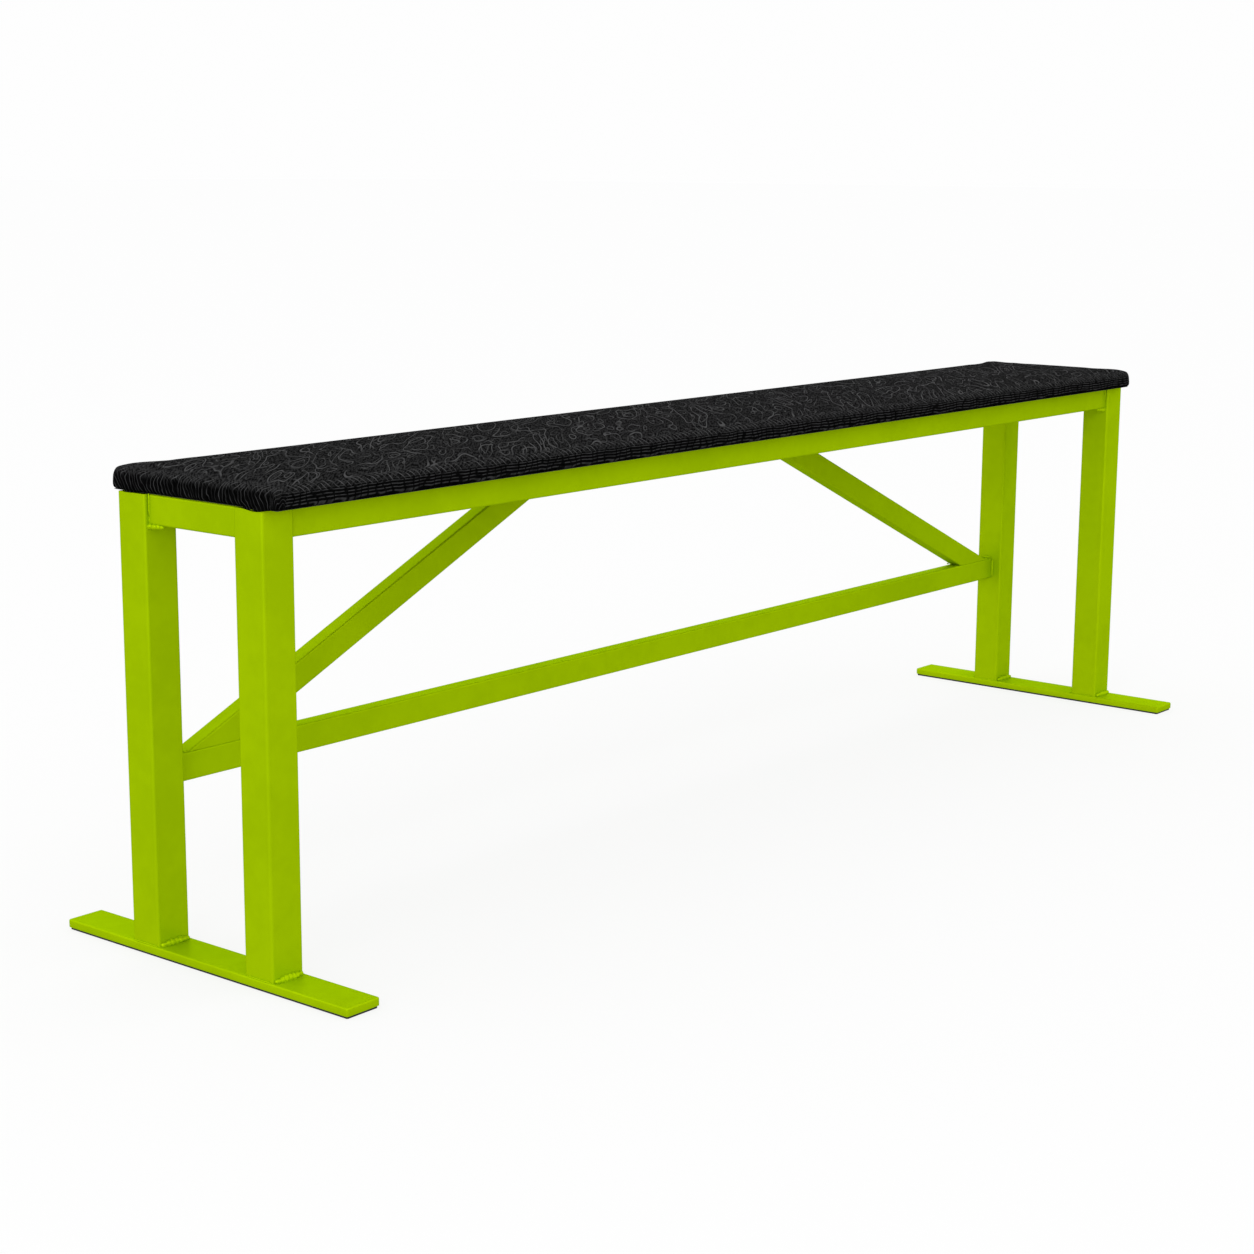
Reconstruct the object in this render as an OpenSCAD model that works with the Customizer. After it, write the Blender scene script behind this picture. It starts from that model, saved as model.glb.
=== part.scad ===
// Backless counter-height bench. A welded square-tube steel frame stands on two
// flat foot bars. A stretcher and two diagonal braces stiffen its rear side.
// A long padded seat is screwed down to straps across the frame's top.
// Origin: centre of the footprint, on the floor. +X runs along the bench,
// +Y goes to the rear, where the stretcher is, and +Z is up. Millimetres.

/* [Frame] */
// Length over the outer faces of the legs
frame_length = 2130; // [1300:10:2600]
// Depth over the outer faces of the legs
frame_depth = 264; // [210:1:420]
// Height of the frame's top, where the seat rests
frame_height = 597; // [430:1:760]

/* [Legs] */
// Outside width of the square leg tube
leg_tube = 50.8; // [39.6:0.1:64]
// Wall of the leg tube
leg_wall = 2.1; // [1.2:0.1:3]
// Outside corner radius of the leg tube
leg_corner = 3.8; // [3.2:0.1:6]

/* [Foot bars] */
// Length of each foot bar, front to back
foot_length = 526; // [440:1:700]
// How far a foot bar stands out past the leg on each side
foot_ledge = 2.1; // [1:0.1:10]
// Thickness of the foot bar
foot_thickness = 11; // [6:0.5:16]
// Corner radius of the foot bar in plan
foot_corner = 2.5; // [1:0.1:6]
// Thickness of the rubber strip under the foot bar
strip_thickness = 3; // [1.5:0.5:6]
// How far the rubber strip is set in from the foot bar's edge
strip_inset = 2; // [1:0.1:6]

/* [Rails] */
// Outside width of the square rail tube
rail_tube = 38.1; // [25:0.1:39.5]
// Wall of the rail tube
rail_wall = 1.6; // [1.2:0.1:2.5]
// Outside corner radius of the rail tube
rail_corner = 3; // [2.7:0.1:5]

/* [Stretcher and braces] */
// Height of the stretcher's underside above the floor
stretcher_height = 216; // [120:1:300]
// Upright size of the stretcher tube
stretcher_width = 38.1; // [30:0.1:50]
// Front-to-back size of the stretcher tube
stretcher_depth = 25.4; // [20:0.1:36]
// Size of the brace tube across its length
brace_width = 38.1; // [25:0.1:50]
// Gap along the stretcher between a leg and its brace
brace_foot_gap = 22; // [10:1:60]
// Gap along the rear rail between the upper ends of the two braces
brace_head_gap = 440; // [100:1:700]
// Wall of the stretcher and brace tubes
stretcher_wall = 1.6; // [1.2:0.1:2.5]
// Outside corner radius of the stretcher and brace tubes
stretcher_corner = 3; // [2.7:0.1:5]

/* [Seat] */
// How far the seat stands out past the legs at the front and the rear
seat_overhang = 26; // [18:1:60]
// How far the seat stands out past the legs at each end
seat_end_overhang = 0; // [-4:1:40]
// Thickness of the finished seat at its flat middle
seat_thickness = 30.5; // [24:0.5:70]
// Corner radius of the seat in plan
seat_corner = 16; // [14:1:60]
// Radius of the seat's upper edge
seat_top_edge = 12; // [6:1:14]
// Radius of the seat's lower edge
seat_bottom_edge = 8; // [5:1:10]
// Thickness of the seat's fabric cover
cover_thickness = 1.4; // [0.8:0.1:2.5]
// Thickness of the seat's plywood board
board_thickness = 12; // [11.5:0.5:18]
// Thickness of the foam round the board's edge
foam_edge = 7; // [3:0.5:12]
// Width of the cover that is turned under the board
hem_width = 66; // [60:1:80]
// Thickness of the dust cloth under the board
cloth_thickness = 0.6; // [0.4:0.1:1]
// How far the dust cloth stops short of the seat's edge
cloth_inset = 9; // [6:1:12]

/* [Straps and fasteners] */
// Width of the flat straps that carry the seat
strap_width = 38.1; // [30:0.1:50]
// Thickness of the straps
strap_thickness = 4.8; // [3:0.1:8]
// Distance from an end leg to the middle of the nearest strap
strap_inset = 160; // [80:1:260]
// Distance from each screw to the rail beside it
screw_edge = 32.5; // [15:0.5:36]
// Diameter of the seat screws
screw_diameter = 6; // [4:0.5:8]
// Clearance all round a seat screw in its strap
screw_clearance = 0.5; // [0.2:0.1:1]
// Diameter of the screw heads
screw_head = 10.5; // [9:0.5:14]
// Height of the screw heads
screw_head_height = 3.3; // [2:0.1:5]
// Diameter of the hexagon socket's circle in the screw heads
socket_diameter = 4.6; // [3:0.1:6]
// Outside diameter of the washers
washer_diameter = 15; // [14.5:0.5:20]
// Thickness of the washers
washer_thickness = 1.6; // [1:0.1:2.5]
// Outside diameter of the T-nuts' flanges
tnut_flange = 19; // [16:0.5:24]
// Thickness of the T-nuts' flanges
tnut_flange_thickness = 1.5; // [1:0.1:2]
// Wall of the T-nuts' barrels
tnut_wall = 1.2; // [0.8:0.1:2]
// Length of the T-nuts' barrels under the flange
tnut_length = 8; // [5:0.5:9]
// Clearance between a screw and its T-nut
thread_clearance = 0.05; // [0.02:0.01:0.2]

/* [Staples] */
// Distance between staples along the seat's edges
staple_pitch = 50; // [30:1:100]
// Length of a staple's crown
staple_crown = 10; // [6:0.5:12]
// Length of a staple's legs
staple_leg = 8; // [5:0.5:10]
// Thickness of the staple wire
staple_wire = 0.7; // [0.5:0.1:1]
// Clearance between the staples and the frame
staple_clearance = 8; // [5:0.5:12]

/* [Welds] */
// Leg size of the weld beads
weld_size = 4; // [2:0.1:4.4]
// Leg size of the beads in front of and behind each leg's foot
foot_weld_size = 5; // [3:0.1:7]
// Length of the weld that runs into a brace's sharp corner
corner_weld = 12; // [8:0.5:20]
// How much of a brace's depth that weld fills, from the rear
corner_weld_depth = 7; // [4:0.5:12]

/* [Hidden] */

// Facets of each full circle
$fn = 48;
// Extra length that a cutting shape needs to pass right through a wall
cut = 1;
left = -1;
right = 1;
front = -1;
rear = 1;

paint = [0.49, 0.61, 0.02];
rubber_black = [0.06, 0.06, 0.06];
fabric_black = [0.09, 0.09, 0.10];
cloth_black = [0.12, 0.12, 0.12];
foam_cream = [0.90, 0.86, 0.70];
plywood_tan = [0.76, 0.60, 0.40];
zinc_grey = [0.72, 0.73, 0.75];

// Feet and legs
foot_width = leg_tube + 2 * foot_ledge;
foot_top = strip_thickness + foot_thickness;
leg_x = (frame_length - leg_tube) / 2;
leg_y = (frame_depth - leg_tube) / 2;
leg_length = frame_height - foot_top;
inner_length = frame_length - 2 * leg_tube;
inner_depth = frame_depth - 2 * leg_tube;

// Rails, centred on the legs
rail_setback = (leg_tube - rail_tube) / 2;
rail_x = leg_x;
rail_y = leg_y;
rail_z = frame_height - rail_tube / 2;
rail_underside = frame_height - rail_tube;
rail_inner_y = rail_y - rail_tube / 2;
rail_inner_x = rail_x - rail_tube / 2;

// Stretcher and braces, flush with the rear rail's rear face. The brace's slope is
// the one that makes its upper edge leave the stretcher at the foot gap and its
// lower edge meet the rail at the reach, both counted from the leg.
stretcher_y = frame_depth / 2 - rail_setback - stretcher_depth / 2;
stretcher_z = stretcher_height + stretcher_width / 2;
stretcher_top = stretcher_height + stretcher_width;
brace_rise = rail_underside - stretcher_top;
brace_reach = (inner_length - brace_head_gap) / 2;
brace_run = brace_reach - brace_foot_gap;
brace_diagonal = sqrt(brace_run * brace_run + brace_rise * brace_rise);
brace_slope = atan2(brace_rise, brace_run) + asin(brace_width / brace_diagonal);
brace_cut = brace_width / sin(brace_slope);
brace_middle_x = inner_length / 2 - (brace_foot_gap + brace_reach) / 2;
brace_head_x = brace_head_gap / 2 + brace_cut / 2;
brace_middle_z = (stretcher_top + rail_underside) / 2;
brace_rough_length = brace_diagonal + 4 * brace_width;

// Straps across the frame's top
strap_count = 4;
strap_length = 2 * rail_inner_y;
strap_span = inner_length - 2 * strap_inset;
strap_xs = [for (i = [0 : strap_count - 1]) strap_span * (i / (strap_count - 1) - 1 / 2)];
strap_underside = frame_height - strap_thickness;
screw_y = rail_inner_y - screw_edge;
screw_spots = [for (x = strap_xs) for (row = [front, rear]) [x, row * screw_y]];
hole_radius = screw_diameter / 2 + screw_clearance;

// Seat, from the frame's top upwards: dust cloth, hem, board, foam and cover
seat_length = frame_length + 2 * seat_end_overhang;
seat_depth = frame_depth + 2 * seat_overhang;
seat_top = frame_height + seat_thickness;
cover_underside = frame_height + cloth_thickness;
board_underside = cover_underside + cover_thickness;
board_top = board_underside + board_thickness;
board_inset = cover_thickness + foam_edge;
board_corner = seat_corner - board_inset;
bottom_edge = min(seat_bottom_edge, board_inset);
tnut_radius = screw_diameter / 2 + thread_clearance;
tnut_barrel_radius = tnut_radius + tnut_wall;
screw_tip = board_top - tnut_flange_thickness;
screw_head_top = strap_underside - washer_thickness;

// Welds, no wider than the leg's face leaves room for
rail_weld = min(weld_size, rail_setback);

// Staples: outside the legs along the long sides, inside the end rails at the ends
staple_y = frame_depth / 2 + staple_clearance;
staple_x = rail_inner_x - staple_clearance;
side_staples = floor((inner_length - staple_crown) / staple_pitch);
end_staples = floor((strap_length - 2 * staple_crown) / staple_pitch);

// A rectangle with round corners, centred
module rounded_rect(w, d, r) {
    square([w - 2 * r, d], center = true);
    square([w, d - 2 * r], center = true);
    for (x = [-1, 1])
        for (y = [-1, 1])
            translate([x * (w / 2 - r), y * (d / 2 - r)])
                circle(r = r);
}

// A rectangular tube along +Z, centred in plan
module tube(w, d, wall, r, length) {
    linear_extrude(height = length)
        difference() {
            rounded_rect(w, d, r);
            rounded_rect(w - 2 * wall, d - 2 * wall, r - wall);
        }
}

// A rectangular tube along X, centred, with its w side upright
module tube_x(w, d, wall, r, length) {
    rotate([0, 90, 0])
        translate([0, 0, -length / 2])
            tube(w, d, wall, r, length);
}

// A fillet bead along Y. It stands out by a on the base and climbs b up the wall.
module bead(a, b, length) {
    rotate([90, 0, 0])
        linear_extrude(height = length, center = true)
            polygon([[0, 0], [a, 0], [0, b]]);
}

// Beads round a tube that stands on a flat face in the XY plane. Each turn in
// sides picks one face of the tube, from +X, and w and d are its sizes in X and Y.
module beads_round(w, d, r, sides, size) {
    for (turn = sides)
        rotate([0, 0, turn])
            translate([(turn % 180 == 0 ? w : d) / 2, 0, 0])
                bead(size, size, (turn % 180 == 0 ? d : w) - 2 * r);
}

module leg(side, row) {
    color(paint)
        translate([side * leg_x, row * leg_y, foot_top])
            tube(leg_tube, leg_tube, leg_wall, leg_corner, leg_length);
}

module foot_bar(side) {
    color(paint)
        translate([side * leg_x, 0, strip_thickness])
            linear_extrude(height = foot_thickness)
                rounded_rect(foot_width, foot_length, foot_corner);
}

module foot_strip(side) {
    color(rubber_black)
        translate([side * leg_x, 0, strip_thickness / 2])
            cube([foot_width - 2 * strip_inset, foot_length - 2 * strip_inset, strip_thickness],
                 center = true);
}

module long_rail(row) {
    color(paint)
        translate([0, row * rail_y, rail_z])
            tube_x(rail_tube, rail_tube, rail_wall, rail_corner, inner_length);
}

module end_rail(side) {
    color(paint)
        translate([side * rail_x, 0, rail_z])
            rotate([0, 0, 90])
                tube_x(rail_tube, rail_tube, rail_wall, rail_corner, inner_depth);
}

module stretcher() {
    color(paint)
        translate([0, stretcher_y, stretcher_z])
            tube_x(stretcher_width, stretcher_depth, stretcher_wall, stretcher_corner,
                   inner_length);
}

// The right brace falls towards the right leg, and the left one is its mirror
// image. Its ends are mitred flat on the stretcher and under the rear rail.
module brace(side) {
    color(paint)
        intersection() {
            translate([side * brace_middle_x, stretcher_y, brace_middle_z])
                rotate([0, side * brace_slope, 0])
                    tube_x(brace_width, stretcher_depth, stretcher_wall, stretcher_corner,
                           brace_rough_length);
            translate([0, stretcher_y, brace_middle_z])
                cube([frame_length, stretcher_depth + 2 * cut, brace_rise], center = true);
        }
}

module seat_strap(number) {
    color(paint)
        difference() {
            translate([strap_xs[number - 1], 0, frame_height - strap_thickness / 2])
                cube([strap_width, strap_length, strap_thickness], center = true);
            for (spot = screw_spots)
                translate([spot[0], spot[1], strap_underside - cut])
                    cylinder(r = hole_radius, h = strap_thickness + 2 * cut);
        }
}

// Full beads in front of and behind each leg, and narrow ones on the ledges
module foot_welds() {
    color(paint)
        for (side = [left, right])
            for (row = [front, rear])
                translate([side * leg_x, row * leg_y, foot_top]) {
                    beads_round(leg_tube, leg_tube, leg_corner, [90, 270], foot_weld_size);
                    beads_round(leg_tube, leg_tube, leg_corner, [0, 180], foot_ledge);
                }
}

// The rails are welded below and on both sides, and ground flush on top
module rail_welds() {
    below_and_sides = [0, 90, 270];
    color(paint) {
        for (row = [front, rear])
            for (turn = [0, 180])
                translate([0, row * rail_y, rail_z])
                    rotate([0, 0, turn])
                        translate([-inner_length / 2, 0, 0])
                            rotate([0, 90, 0])
                                beads_round(rail_tube, rail_tube, rail_corner,
                                            below_and_sides, rail_weld);
        for (side = [left, right])
            for (turn = [90, 270])
                translate([side * rail_x, 0, rail_z])
                    rotate([0, 0, turn])
                        translate([-inner_depth / 2, 0, 0])
                            rotate([0, 90, 0])
                                beads_round(rail_tube, rail_tube, rail_corner,
                                            below_and_sides, rail_weld);
    }
}

module stretcher_welds() {
    color(paint)
        for (turn = [0, 180])
            translate([0, stretcher_y, stretcher_z])
                rotate([0, 0, turn])
                    translate([-inner_length / 2, 0, 0])
                        rotate([0, 90, 0])
                            beads_round(stretcher_width, stretcher_depth, stretcher_corner,
                                        [0, 90, 180, 270], rail_weld);
}

// The beads across one end of the left brace, with the brace rising towards +X.
// The origin is the middle of its mitred end. The sharp corner is only filled at
// the rear, and the blunt one all the way across.
module brace_end_beads() {
    width = stretcher_depth - 2 * stretcher_corner;
    slant = [cos(brace_slope), sin(brace_slope)];
    translate([brace_cut / 2, (width - corner_weld_depth) / 2, 0])
        rotate([90, 0, 0])
            linear_extrude(height = corner_weld_depth, center = true)
                polygon([[0, 0], [corner_weld, 0], corner_weld * slant]);
    translate([-brace_cut / 2, 0, 0])
        rotate([90, 0, 0])
            linear_extrude(height = width, center = true)
                polygon([[0, 0], [-weld_size, 0], weld_size * slant]);
}

// The mitred ends, and a bead in front of each upper end, where the rail is deeper
module brace_welds() {
    end_x = (brace_run - brace_cut) / 2;
    end_z = brace_rise / 2;
    color(paint)
        for (side = [0, 1])
            mirror([side, 0, 0]) {
                translate([-brace_middle_x, stretcher_y, brace_middle_z])
                    for (spin = [0, 180])
                        rotate([0, spin, 0])
                            translate([-end_x, 0, -end_z])
                                brace_end_beads();
                translate([-brace_head_x, stretcher_y - stretcher_depth / 2, rail_underside])
                    rotate([180, 0, -90])
                        bead(weld_size, weld_size, brace_cut - 2 * stretcher_corner);
            }
}

// One bead under each end of a strap, against the rail
module strap_welds() {
    color(paint)
        for (x = strap_xs)
            for (turn = [0, 180])
                translate([x, 0, strap_underside])
                    rotate([0, 0, turn])
                        translate([0, strap_length / 2, 0])
                            rotate([180, 0, 0])
                                rotate([0, 0, 90])
                                    bead(weld_size, weld_size, strap_width);
}

// A ring that rounds the pad's edge at one corner: the hull keeps its outer side
module edge_ring(r_plan, r_edge) {
    rotate_extrude($fn = 32)
        intersection() {
            translate([r_plan - r_edge, 0])
                circle(r = r_edge, $fn = 32);
            translate([0, -r_edge])
                square([r_plan, 2 * r_edge]);
        }
}

// A pad with round corners in plan and round upper and lower edges
module pad(length, depth, height, r_plan, r_top, r_bottom) {
    hull()
        for (x = [-1, 1])
            for (y = [-1, 1])
                translate([x * (length / 2 - r_plan), y * (depth / 2 - r_plan), 0]) {
                    translate([0, 0, height - r_top])
                        edge_ring(r_plan, r_top);
                    translate([0, 0, r_bottom])
                        edge_ring(r_plan, r_bottom);
                }
}

// Everything inside the cover: the foam, with the board let into its underside
module cover_inside() {
    translate([0, 0, board_underside])
        pad(seat_length - 2 * cover_thickness, seat_depth - 2 * cover_thickness,
            seat_top - cover_thickness - board_underside, seat_corner - cover_thickness,
            seat_top_edge - cover_thickness, bottom_edge - cover_thickness);
}

module board_blank() {
    translate([0, 0, board_underside])
        linear_extrude(height = board_thickness)
            rounded_rect(seat_length - 2 * board_inset, seat_depth - 2 * board_inset,
                         board_corner);
}

module seat_board() {
    color(plywood_tan)
        difference() {
            board_blank();
            for (spot = screw_spots)
                translate([spot[0], spot[1], board_underside]) {
                    translate([0, 0, -cut])
                        cylinder(r = tnut_barrel_radius, h = board_thickness + 2 * cut);
                    translate([0, 0, board_thickness - tnut_flange_thickness])
                        cylinder(d = tnut_flange, h = tnut_flange_thickness + cut);
                }
        }
}

module seat_foam() {
    color(foam_cream)
        difference() {
            cover_inside();
            board_blank();
        }
}

module seat_cover() {
    color(fabric_black)
        difference() {
            translate([0, 0, cover_underside])
                pad(seat_length, seat_depth, seat_top - cover_underside, seat_corner,
                    seat_top_edge, bottom_edge);
            cover_inside();
            translate([0, 0, cover_underside - cut])
                linear_extrude(height = cover_thickness + 2 * cut)
                    square([seat_length - 2 * hem_width, seat_depth - 2 * hem_width],
                           center = true);
        }
}

module dust_cloth() {
    color(cloth_black)
        difference() {
            translate([0, 0, frame_height])
                linear_extrude(height = cloth_thickness)
                    rounded_rect(seat_length - 2 * cloth_inset, seat_depth - 2 * cloth_inset,
                                 seat_corner - cloth_inset);
            for (spot = screw_spots)
                translate([spot[0], spot[1], frame_height - cut])
                    cylinder(r = hole_radius, h = cloth_thickness + 2 * cut);
        }
}

module t_nuts() {
    color(zinc_grey)
        for (spot = screw_spots)
            translate([spot[0], spot[1], board_top - tnut_flange_thickness])
                difference() {
                    union() {
                        cylinder(d = tnut_flange, h = tnut_flange_thickness);
                        translate([0, 0, -tnut_length])
                            cylinder(r = tnut_barrel_radius, h = tnut_length + cut / 2);
                    }
                    translate([0, 0, -tnut_length - cut])
                        cylinder(r = tnut_radius, h = tnut_length + 3 * cut);
                }
}

module seat_screws() {
    color(zinc_grey)
        for (spot = screw_spots)
            translate([spot[0], spot[1], 0])
                difference() {
                    union() {
                        translate([0, 0, screw_head_top - screw_head_height])
                            cylinder(d = screw_head, h = screw_head_height);
                        translate([0, 0, screw_head_top - cut])
                            cylinder(d = screw_diameter, h = screw_tip - screw_head_top + cut);
                    }
                    translate([0, 0, screw_head_top - screw_head_height - cut])
                        cylinder(d = socket_diameter, h = screw_head_height / 2 + cut, $fn = 6);
                }
}

module seat_washers() {
    color(zinc_grey)
        for (spot = screw_spots)
            translate([spot[0], spot[1], screw_head_top])
                difference() {
                    cylinder(d = washer_diameter, h = washer_thickness);
                    translate([0, 0, -cut])
                        cylinder(r = hole_radius, h = washer_thickness + 2 * cut);
                }
}

// One staple with its crown along X, driven upwards from z = 0
module staple() {
    translate([0, 0, -staple_wire / 2])
        cube([staple_crown, staple_wire, staple_wire], center = true);
    for (s = [-1, 1])
        translate([s * (staple_crown - staple_wire) / 2, 0, (staple_leg - staple_wire) / 2])
            cube([staple_wire, staple_wire, staple_leg + staple_wire], center = true);
}

module staples() {
    color(zinc_grey)
        translate([0, 0, frame_height]) {
            for (row = [front, rear])
                for (i = [0 : side_staples])
                    translate([(i - side_staples / 2) * staple_pitch, row * staple_y, 0])
                        staple();
            for (side = [left, right])
                for (i = [0 : end_staples])
                    translate([side * staple_x, (i - end_staples / 2) * staple_pitch, 0])
                        rotate([0, 0, 90])
                            staple();
        }
}

leg(left, front);  // leg_front_left
leg(right, front);  // leg_front_right
leg(left, rear);  // leg_rear_left
leg(right, rear);  // leg_rear_right
foot_bar(left);  // foot_bar_left
foot_bar(right);  // foot_bar_right
foot_strip(left);  // foot_strip_left
foot_strip(right);  // foot_strip_right
long_rail(front);  // rail_front
long_rail(rear);  // rail_rear
end_rail(left);  // rail_left
end_rail(right);  // rail_right
stretcher();
brace(left);  // brace_left
brace(right);  // brace_right
seat_strap(1);  // seat_strap_1
seat_strap(2);  // seat_strap_2
seat_strap(3);  // seat_strap_3
seat_strap(4);  // seat_strap_4
foot_welds();
rail_welds();
stretcher_welds();
brace_welds();
strap_welds();
seat_board();
seat_foam();
seat_cover();
dust_cloth();
t_nuts();
seat_screws();
seat_washers();
staples();
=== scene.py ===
# %% [markdown]
# # A long backless bench with a padded seat
#
# The bench has a welded frame of square steel tube, powder coated in a bright
# yellow-green, and a thin pad covered in a black cloth with raised contour lines.
# Its measured design arrives as a fixed frame of CAD parts, in metres, and every
# part keeps its size here. This lesson gives the parts their finishes, and models
# the pieces that CAD only blocks out: the foot bars' soft edges, the weld beads,
# the pad and the dust cloth under it.

# %% Load the frame
import math
import random

import bpy
from mathutils import Matrix, Vector, noise


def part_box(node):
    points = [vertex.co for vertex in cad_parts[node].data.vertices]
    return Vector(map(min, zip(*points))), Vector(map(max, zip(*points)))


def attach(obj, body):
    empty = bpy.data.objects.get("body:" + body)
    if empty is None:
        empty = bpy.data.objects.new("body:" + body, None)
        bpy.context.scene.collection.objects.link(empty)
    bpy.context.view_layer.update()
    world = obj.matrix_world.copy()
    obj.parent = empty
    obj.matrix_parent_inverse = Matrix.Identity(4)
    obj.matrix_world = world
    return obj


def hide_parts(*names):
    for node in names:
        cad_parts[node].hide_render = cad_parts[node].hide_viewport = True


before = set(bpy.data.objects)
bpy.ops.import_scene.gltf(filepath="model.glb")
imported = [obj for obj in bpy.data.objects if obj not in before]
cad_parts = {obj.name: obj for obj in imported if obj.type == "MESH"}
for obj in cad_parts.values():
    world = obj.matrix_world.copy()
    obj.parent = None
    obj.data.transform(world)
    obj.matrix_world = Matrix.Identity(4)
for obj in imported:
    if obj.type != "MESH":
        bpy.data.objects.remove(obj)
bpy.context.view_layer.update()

# %% [markdown]
# ## The camera
#
# The camera is a person's standing view from beyond the front left corner, looking
# slightly down. A long lens from a few metres away keeps the upright legs parallel
# on the picture. The angles are set once as yaw, pitch and roll and turned into the
# camera's own rotation, because a camera without a turn looks straight down.

# %% Place the camera
yaw = math.radians(50.838)
pitch = math.radians(-11.164)
roll = math.radians(0.342)
camera_place = (-2.93215, -2.20662, 1.00553)

camera_data = bpy.data.cameras.new("camera")
camera_data.lens = 68.14
camera_data.sensor_width = 36
camera_data.clip_end = 300
camera = bpy.data.objects.new("camera", camera_data)
bpy.context.scene.collection.objects.link(camera)
turn = Matrix.Rotation(-yaw, 4, "Z")
turn = turn @ Matrix.Rotation(math.pi / 2 + pitch, 4, "X")
turn = turn @ Matrix.Rotation(roll, 4, "Z")
camera.matrix_world = Matrix.Translation(camera_place) @ turn
bpy.context.scene.camera = camera
print("camera", camera_data.lens, "mm lens,", round(camera.location.z, 3), "m above the floor")

# %% [markdown]
# ## Floor and light
#
# The bench stands in an even white studio. A white world lights it from above and
# all round, and one large soft light from the left makes the ends a little brighter
# than the long side. The floor gives off most of its own white and only a small
# part of it is lit, so the shadow under the bench stays faint. World and floor show
# as one seamless white, but a Light Path node gives them other strengths as light:
# more from above than from below, as in a studio. The standard view transform keeps
# the white white and the green as saturated as its paint.

# %% Light the studio
scene = bpy.context.scene
scene.view_settings.view_transform = "Standard"

world = bpy.data.worlds.new("studio")
world.use_nodes = True
scene.world = world


def shown_and_lit(tree, socket, shown, lit):
    """Feed a colour socket one grey where the camera sees it and another where it lights."""
    seen = tree.nodes.new("ShaderNodeLightPath").outputs["Is Camera Ray"]
    greys = tree.nodes.new("ShaderNodeMix")
    greys.data_type = "RGBA"
    greys.inputs[6].default_value = (lit, lit, lit, 1)
    greys.inputs[7].default_value = (shown, shown, shown, 1)
    tree.links.new(seen, greys.inputs[0])
    tree.links.new(greys.outputs[2], socket)


backdrop = world.node_tree.nodes["Background"]
shown_and_lit(world.node_tree, backdrop.inputs["Color"], shown=0.99, lit=1.24)


def soft_light(name, place, aim, size, power):
    """A square area light that faces a point."""
    data = bpy.data.lights.new(name, "AREA")
    data.size = size
    data.energy = power
    lamp = bpy.data.objects.new(name, data)
    lamp.location = place
    lamp.rotation_euler = (Vector(aim) - Vector(place)).to_track_quat("-Z", "Y").to_euler()
    bpy.context.scene.collection.objects.link(lamp)
    return lamp


bench_middle = (0, 0, 0.3)
key = soft_light("key_light", (-10.8, -5.1, 3.8), bench_middle, size=6.0, power=385)
print("one soft light", round((key.location - Vector(bench_middle)).length, 2), "m from the bench")

# %% Lay the floor
bpy.ops.object.select_all(action="DESELECT")
below_strips = -0.0002
bpy.ops.mesh.primitive_plane_add(size=160, location=(0, 0, below_strips))
floor = bpy.context.object
floor.name = "floor"
floor_paint = bpy.data.materials.new("floor_white")
floor_paint.use_nodes = True
floor_shader = floor_paint.node_tree.nodes["Principled BSDF"]
floor_shader.inputs["Base Color"].default_value = (0.14, 0.14, 0.14, 1)
floor_shader.inputs["Roughness"].default_value = 1
floor_shader.inputs["Specular IOR Level"].default_value = 0
floor_shader.inputs["Emission Strength"].default_value = 1
shown_and_lit(floor_paint.node_tree, floor_shader.inputs["Emission Color"], shown=0.81, lit=0.50)
floor.data.materials.append(floor_paint)
print("floor", round(floor.dimensions.x), "m wide")

# %% [markdown]
# ## Building materials from nodes
#
# A material is a small graph. Writing every node out by hand would hide what the
# graph does, so small helpers do the joining: they add a node and fill its sockets,
# do a sum with numbers or with vectors, make a soft step or a noise, mix two
# colours, and start a node group with named sockets or place it in a material.

# %% Node helpers
def fill(tree, socket, value):
    """Join another node's output to a socket, or set the socket to a plain value."""
    if isinstance(value, bpy.types.NodeSocket):
        tree.links.new(value, socket)
    elif hasattr(value, "__len__") and len(value) == 3 and len(socket.default_value) == 4:
        socket.default_value = (*value, 1)
    else:
        socket.default_value = value


def add_node(tree, kind, settings=None, **inputs):
    """A node with its settings, and its inputs by name, with _ for a space."""
    made = tree.nodes.new(kind)
    for name, value in (settings or {}).items():
        setattr(made, name, value)
    for name, value in inputs.items():
        fill(tree, made.inputs[name.replace("_", " ")], value)
    return made


def sum_node(tree, operation, *values):
    """The result of a Math node, from sockets or numbers."""
    made = tree.nodes.new("ShaderNodeMath")
    made.operation = operation
    for socket, value in zip(made.inputs, values):
        fill(tree, socket, value)
    return made.outputs[0]


def vector_node(tree, operation, *values):
    """A Vector Math node, from sockets or vectors."""
    made = add_node(tree, "ShaderNodeVectorMath", {"operation": operation})
    for socket, value in zip(made.inputs, values):
        fill(tree, socket, value)
    return made


def ramp(tree, value, low, high, low_result=0.0, high_result=1.0):
    """A smooth step: low_result below low, high_result above high."""
    made = add_node(tree, "ShaderNodeMapRange", {"interpolation_type": "SMOOTHSTEP"}, Value=value,
                    From_Min=low, From_Max=high, To_Min=low_result, To_Max=high_result)
    return made.outputs["Result"]


def cloud(tree, place, scale, detail=2.0):
    """Soft noise from 0 to 1. The scale is in lumps to the metre."""
    return add_node(tree, "ShaderNodeTexNoise", Vector=place, Scale=scale, Detail=detail).outputs["Fac"]


def blend_colours(tree, share, one, other):
    """The first colour where share is 0 and the other one where it is 1."""
    made = add_node(tree, "ShaderNodeMix", {"data_type": "RGBA"})
    fill(tree, made.inputs[0], share)
    fill(tree, made.inputs[6], one)
    fill(tree, made.inputs[7], other)
    return made.outputs[2]


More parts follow.
